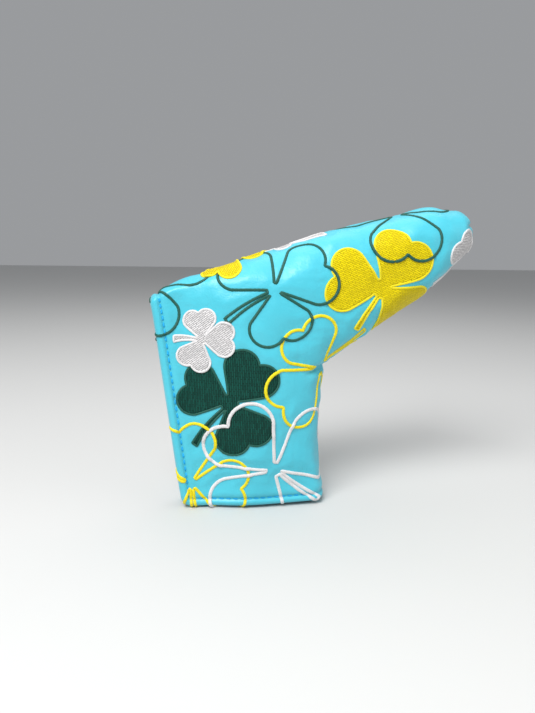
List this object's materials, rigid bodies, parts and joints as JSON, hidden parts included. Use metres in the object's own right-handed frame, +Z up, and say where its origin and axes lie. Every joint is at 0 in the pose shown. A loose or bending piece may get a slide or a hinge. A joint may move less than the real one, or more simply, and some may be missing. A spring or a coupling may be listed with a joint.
{
  "type": "putter head cover",
  "caption": "Padded leather cover for a blade putter head, open along the heel and mouth, with two flaps that swing out and a clover embroidery.",
  "frame": {"origin": "middle of the width and thickness of the cover, on the surface that its mouth stands on", "axes": "+X towards the toe of the head pocket, +Z up, and the decorated front looks along -Y"},
  "size_m": [0.1697, 0.0408, 0.1556],
  "materials": {
    "aqua_leather": "smooth grained synthetic leather with a soft sheen",
    "foam_padding": "soft open foam",
    "plush_lining": "short dark plush",
    "blue_thread": "twisted polyester sewing thread",
    "hook_tape": "woven tape with stiff hooks",
    "loop_tape": "woven tape with soft loops",
    "white_thread": "embroidery thread with a silky sheen",
    "yellow_thread": "embroidery thread with a silky sheen",
    "green_thread": "embroidery thread with a silky sheen"
  },
  "bodies": {
    "shell": {"clover_green_back_shell": "green_thread", "clover_green_corner_shell": "green_thread", "clover_green_large_shell": "green_thread", "clover_green_line_back_shell": "green_thread", "clover_green_outline_shell": "green_thread", "clover_green_ridge_shell": "green_thread", "clover_white_back_shell": "white_thread", "clover_white_hem_shell": "white_thread", "clover_white_line_back_shell": "white_thread", "clover_white_ridge_shell": "white_thread", "clover_white_small_shell": "white_thread", "clover_white_toe_shell": "white_thread", "clover_yellow_back_shell": "yellow_thread", "clover_yellow_elbow_shell": "yellow_thread", "clover_yellow_heel_shell": "yellow_thread", "clover_yellow_line_back_shell": "yellow_thread", "clover_yellow_toe_shell": "yellow_thread", "heel_stitches_shell": "blue_thread", "leather_shell": "aqua_leather", "lining_shell": "plush_lining", "mouth_stitches_shell": "blue_thread", "padding_shell": "foam_padding", "seam_thread": "blue_thread"},
    "front_flap": {"clover_green_corner_front_flap": "green_thread", "clover_green_large_front_flap": "green_thread", "clover_white_hem_front_flap": "white_thread", "clover_white_small_front_flap": "white_thread", "clover_yellow_hem_front_flap": "yellow_thread", "heel_stitches_front_flap": "blue_thread", "hook_strip_front_flap": "hook_tape", "leather_front_flap": "aqua_leather", "lining_front_flap": "plush_lining", "mouth_stitches_front_flap": "blue_thread", "padding_front_flap": "foam_padding"},
    "back_flap": {"clover_green_back_back_flap": "green_thread", "clover_white_line_back_back_flap": "white_thread", "clover_yellow_line_back_back_flap": "yellow_thread", "heel_stitches_back_flap": "blue_thread", "leather_back_flap": "aqua_leather", "lining_back_flap": "plush_lining", "loop_strip_back_flap": "loop_tape", "mouth_stitches_back_flap": "blue_thread", "padding_back_flap": "foam_padding"}
  },
  "joints": [
    {"name": "front_flap_opens", "type": "hinge", "parent": "shell", "child": "front_flap", "pos_m": [-0.051, -0.0175, 0.052], "axis": [-0.5358, 0, 0.8443], "range_deg": [0, 45], "stiffness_Nm_per_rad": 0.12},
    {"name": "back_flap_opens", "type": "hinge", "parent": "shell", "child": "back_flap", "pos_m": [-0.051, 0.0175, 0.052], "axis": [0.5358, 0, -0.8443], "range_deg": [0, 45], "stiffness_Nm_per_rad": 0.12}
  ]
}
